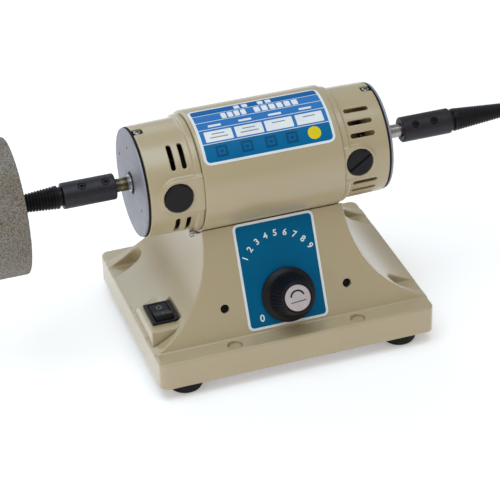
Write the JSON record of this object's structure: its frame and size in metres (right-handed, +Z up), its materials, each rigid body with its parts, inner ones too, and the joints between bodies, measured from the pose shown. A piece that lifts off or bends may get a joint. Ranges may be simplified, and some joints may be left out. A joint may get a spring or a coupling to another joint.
{
  "type": "bench grinder",
  "caption": "Small double-ended bench grinder and polisher: a motor on a cast pedestal base with a speed knob, a rocker switch, tapered screw spindles and an abrasive wheel.",
  "frame": {"origin": "on the bench, under the middle of the base casting", "axes": "+X along the motor shaft to the right as seen from the front, +Y to the back, +Z up"},
  "size_m": [0.49, 0.1698, 0.1894],
  "materials": {
    "cream_paint": "cream powder paint on cast aluminium, satin, faintly textured",
    "steel": "turned or zinc-plated steel",
    "dark_steel": "dark turned steel",
    "black_oxide": "blackened steel, satin",
    "black_plastic": "black moulded plastic",
    "black_rubber": "black rubber",
    "teal_panel": "printed teal panel with a pale border",
    "blue_label": "printed blue film label",
    "cap_grey": "light grey disc",
    "board_green": "circuit board",
    "heat_sink_metal": "plain aluminium",
    "copper": "copper",
    "brass": "brass",
    "ferrite": "dull dark ferrite",
    "carbon": "carbon",
    "abrasive": "grey non-woven abrasive with a brown rim"
  },
  "bodies": {
    "machine": {"base_casting": "cream_paint", "bottom_cover": "steel", "front_left_foot": "black_rubber", "front_right_foot": "black_rubber", "rear_left_foot": "black_rubber", "rear_right_foot": "black_rubber", "cord_bushing": "black_rubber", "front_panel": "teal_panel", "case_screw_left": "dark_steel", "case_screw_right": "dark_steel", "potentiometer": "steel", "switch_housing": "black_plastic", "control_board": "board_green", "heat_sink": "heat_sink_metal", "motor_shell": "cream_paint", "top_label": "blue_label", "left_end_bell": "cream_paint", "right_end_bell": "cream_paint", "left_end_plate": "steel", "right_end_plate": "steel", "left_gasket": "black_rubber", "right_gasket": "black_rubber", "left_bearing": "steel", "right_bearing": "steel", "left_rim_screw": "steel", "right_rim_screw": "steel", "left_bell_bolt": "steel", "right_bell_bolt": "steel", "upper_magnet": "ferrite", "lower_magnet": "ferrite", "front_brush_cap": "black_plastic", "rear_brush_cap": "black_plastic", "front_blank_cap": "black_plastic", "rear_blank_cap": "black_plastic", "front_brush_holder": "brass", "rear_brush_holder": "brass", "front_brush": "carbon", "rear_brush": "carbon", "front_brush_spring": "steel", "rear_brush_spring": "steel"},
    "rotor": {"main_shaft": "steel", "armature_core": "steel", "left_winding": "copper", "right_winding": "copper", "commutator": "copper", "cooling_fan": "black_plastic", "left_sleeve": "dark_steel", "right_sleeve": "dark_steel", "left_inner_set_screw": "black_oxide", "left_outer_set_screw": "black_oxide", "right_inner_set_screw": "black_oxide", "right_outer_set_screw": "black_oxide", "left_spindle": "black_oxide", "right_spindle": "black_oxide", "abrasive_wheel": "abrasive"},
    "knob": {"speed_knob": "black_plastic", "knob_cap": "cap_grey", "speed_control_shaft": "steel"},
    "rocker": {"switch_rocker": "black_plastic"}
  },
  "joints": [
    {"name": "rotor_spin", "type": "hinge", "parent": "machine", "child": "rotor", "pos_m": [0, 0, 0.1394], "axis": [1, 0, 0], "continuous": true},
    {"name": "speed_knob_turn", "type": "hinge", "parent": "machine", "child": "knob", "pos_m": [-0.0006, -0.05759, 0.05451], "axis": [0, -0.9063, 0.4226], "range_deg": [-300, 0]},
    {"name": "power_rocker", "type": "hinge", "parent": "machine", "child": "rocker", "pos_m": [-0.0918, -0.0358, 0.0451], "axis": [1, 0, 0], "range_deg": [0, 18]}
  ]
}
